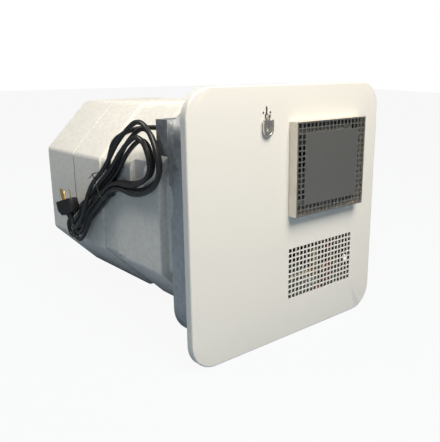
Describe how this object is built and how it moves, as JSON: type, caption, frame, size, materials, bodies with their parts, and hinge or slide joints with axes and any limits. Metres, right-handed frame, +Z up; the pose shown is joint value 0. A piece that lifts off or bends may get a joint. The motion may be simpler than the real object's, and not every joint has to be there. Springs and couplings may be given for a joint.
{
  "type": "caravan water heater",
  "caption": "Gas and electric storage water heater for a caravan: foam-jacketed tank, drop-down outside door with exhaust cage and turn latch, burner bay, and a coiled mains lead.",
  "frame": {"origin": "centre of the wall cut-out, on the outer face of the wall, which is the back face of the screw flange", "axes": "+X to the right as seen from outside the wall, +Y inwards through the wall, +Z up"},
  "size_m": [0.3949, 0.5135, 0.375],
  "materials": {
    "foam": "matte",
    "enamelled_steel": "satin",
    "flue_steel": "satin",
    "galvanised_steel": "satin",
    "cream_paint": "semi-gloss",
    "frame_paint": "semi-gloss",
    "cage_steel": "satin",
    "bright_steel": "bright",
    "cast_zinc": "cast",
    "gasket_fibre": "matte",
    "burner_steel": "satin",
    "brass": "satin",
    "ceramic": "glazed",
    "coil_resin": "matte",
    "valve_alloy": "cast",
    "copper": "satin",
    "black_rubber": "matte",
    "module_plastic": "satin",
    "red_plastic": "gloss",
    "black_plastic": "gloss",
    "grey_plastic": "satin",
    "magnesium": "cast",
    "dark_red_silicone": "satin",
    "wire_harness": "satin",
    "cord_rubber": "satin",
    "tie_wire": "satin"
  },
  "bodies": {
    "heater": {"foam_upper": "foam", "foam_lower": "foam", "water_tank": "enamelled_steel", "flue_tube": "flue_steel", "galvanised_casing": "galvanised_steel", "burner_panel": "galvanised_steel", "wall_frame": "frame_paint", "hinge_brackets": "galvanised_steel", "hinge_pins": "bright_steel", "latch_bracket": "galvanised_steel", "exhaust_duct": "galvanised_steel", "exhaust_gasket": "gasket_fibre", "burner_tube": "burner_steel", "air_shutter": "bright_steel", "orifice_holder": "brass", "burner_bracket": "galvanised_steel", "spark_electrode": "ceramic", "gas_valve": "valve_alloy", "valve_coils": "coil_resin", "manifold_tube": "valve_alloy", "valve_bracket": "galvanised_steel", "gas_inlet_pipe": "copper", "gas_inlet_fitting": "brass", "gas_line_grommet": "black_rubber", "control_module": "module_plastic", "thermostat_plate": "galvanised_steel", "thermostats": "module_plastic", "relief_valve": "brass", "lever_pin": "bright_steel", "anode_rod": "magnesium", "element_gasket": "black_rubber", "heating_element": "bright_steel", "element_cover": "grey_plastic", "switch_bracket": "galvanised_steel", "switch_body": "black_plastic", "panel_screws": "bright_steel", "water_fittings": "brass", "junction_box": "galvanised_steel", "junction_box_cover": "galvanised_steel", "cord_gland": "black_plastic", "power_lead": "cord_rubber", "power_lead_hank": "cord_rubber", "plug_body": "black_plastic", "plug_pins": "brass", "cord_tie": "tie_wire", "ignition_lead": "dark_red_silicone", "wiring_loom": "wire_harness"},
    "door": {"access_door": "cream_paint", "keyhole_stiffener": "galvanised_steel", "stiffener_rivets": "bright_steel", "exhaust_cage": "cage_steel", "door_hinge_knuckles": "galvanised_steel"},
    "latch": {"latch_stem": "bright_steel", "latch_clip": "bright_steel", "latch_pin": "bright_steel"},
    "flap": {"latch_flap": "cast_zinc"},
    "relief_lever": {"relief_lever": "bright_steel"},
    "reset_button_electric": {"reset_button_electric": "red_plastic"},
    "reset_button_gas": {"reset_button_gas": "red_plastic"},
    "switch_rocker": {"switch_rocker": "black_plastic"}
  },
  "joints": [
    {"name": "door_hinge", "type": "hinge", "parent": "heater", "child": "door", "pos_m": [0, -0.005, -0.179], "axis": [1, 0, 0], "range_deg": [0, 95]},
    {"name": "latch_turn", "type": "hinge", "parent": "heater", "child": "latch", "pos_m": [-0.055, 0, 0.1517], "axis": [0, 1, 0], "range_deg": [0, 90]},
    {"name": "flap_lift", "type": "hinge", "parent": "latch", "child": "flap", "pos_m": [-0.055, -0.0144, 0.1517], "axis": [-1, 0, 0], "range_deg": [0, 90]},
    {"name": "relief_lever_lift", "type": "hinge", "parent": "heater", "child": "relief_lever", "pos_m": [-0.035, 0.024, 0.12795], "axis": [-1, 0, 0], "range_deg": [0, 90]},
    {"name": "reset_electric_press", "type": "slide", "parent": "heater", "child": "reset_button_electric", "axis": [0, 1, 0], "range_m": [0, 0.0015], "stiffness_N_per_m": 400},
    {"name": "reset_gas_press", "type": "slide", "parent": "heater", "child": "reset_button_gas", "axis": [0, 1, 0], "range_m": [0, 0.0015], "stiffness_N_per_m": 400},
    {"name": "rocker_tilt", "type": "hinge", "parent": "heater", "child": "switch_rocker", "pos_m": [-0.139, 0.0275, -0.085], "axis": [1, 0, 0], "range_deg": [-8, 8]}
  ]
}
